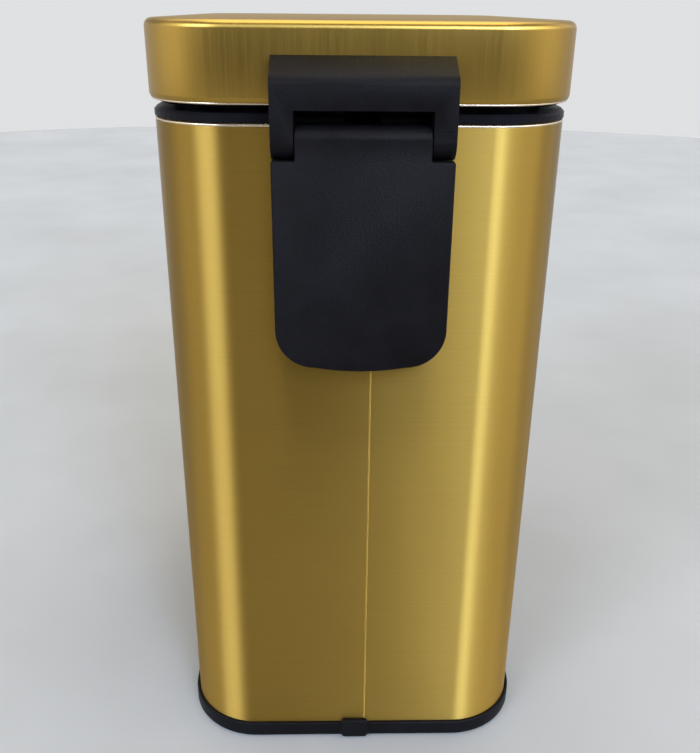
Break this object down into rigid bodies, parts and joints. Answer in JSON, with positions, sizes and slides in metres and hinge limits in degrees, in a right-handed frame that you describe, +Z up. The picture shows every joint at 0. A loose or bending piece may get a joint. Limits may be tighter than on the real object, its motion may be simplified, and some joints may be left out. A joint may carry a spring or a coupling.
{
  "type": "pedal trash can",
  "caption": "Slim rectangular pedal bin: steel body, soft-closing hinged lid, lift-out bucket, and a pedal that opens the lid through a lever and rod.",
  "frame": {"origin": "on the floor, under the middle of the whole bin's width and depth, pedal and hinge included", "axes": "+Z up, pedal towards -Y, lid hinge towards +Y, +X to the right when seen from the pedal side"},
  "size_m": [0.1736, 0.2996, 0.3496],
  "materials": {
    "gold_steel": "brushed stainless steel with a clear gold tint, fine horizontal grain on the body",
    "black_plastic": "fine-grained matt black polypropylene",
    "grey_plastic": "smooth dark grey polypropylene",
    "bright_steel": "zinc-plated and drawn steel",
    "black_rubber": "soft black rubber"
  },
  "bodies": {
    "bin": {"body_shell": "gold_steel", "rim_ring": "black_plastic", "base_ring": "black_plastic", "base_floor": "grey_plastic", "pedal_bezel": "black_plastic", "foot_front_left": "black_rubber", "foot_front_right": "black_rubber", "foot_rear_left": "black_rubber", "foot_rear_right": "black_rubber", "base_screw_1": "bright_steel", "base_screw_2": "bright_steel", "base_screw_3": "bright_steel", "base_screw_4": "bright_steel", "hinge_cover": "black_plastic", "hinge_base": "bright_steel", "backing_plate": "bright_steel", "hinge_screw_1": "bright_steel", "hinge_screw_2": "bright_steel", "hinge_screw_3": "bright_steel", "hinge_screw_4": "bright_steel", "inner_bucket": "grey_plastic", "damper_holder": "grey_plastic", "damper_cylinder": "bright_steel", "pedal_axle": "bright_steel", "axle_clip_left": "bright_steel", "axle_clip_right": "bright_steel"},
    "lid": {"lid_shell": "gold_steel", "lid_liner": "black_plastic", "bumper_front_left": "black_rubber", "bumper_front_right": "black_rubber", "bumper_rear_left": "black_rubber", "bumper_rear_right": "black_rubber", "lid_bracket": "black_plastic", "bracket_screw_1": "bright_steel", "bracket_screw_2": "bright_steel", "hinge_pin": "bright_steel", "crank_arm": "bright_steel", "crank_pin": "bright_steel"},
    "pedal": {"pedal_lever": "bright_steel", "pedal_plate": "gold_steel", "pedal_pad": "black_rubber", "pedal_rivet_left": "bright_steel", "pedal_rivet_right": "bright_steel"},
    "rod": {"push_rod": "bright_steel", "rod_head": "grey_plastic", "rod_foot": "grey_plastic", "rod_yoke": "grey_plastic", "damper_plunger": "bright_steel"}
  },
  "joints": [
    {"name": "lid_hinge", "type": "hinge", "parent": "bin", "child": "lid", "pos_m": [0, 0.14164, 0.3085], "axis": [-1, 0, 0], "range_deg": [0, 80]},
    {"name": "pedal_pivot", "type": "hinge", "parent": "bin", "child": "pedal", "pos_m": [0, -0.00566, 0.02], "axis": [1, 0, 0], "range_deg": [0, 10.1]},
    {"name": "rod_slide", "type": "slide", "parent": "bin", "child": "rod", "axis": [0, 0, 1], "range_m": [0, 0.02314]}
  ],
  "couplings": [
    {"joint": "pedal_pivot", "follows": "lid_hinge", "ratio": 0.12619},
    {"joint": "rod_slide", "follows": "lid_hinge", "m_per_rad": 0.016573}
  ]
}
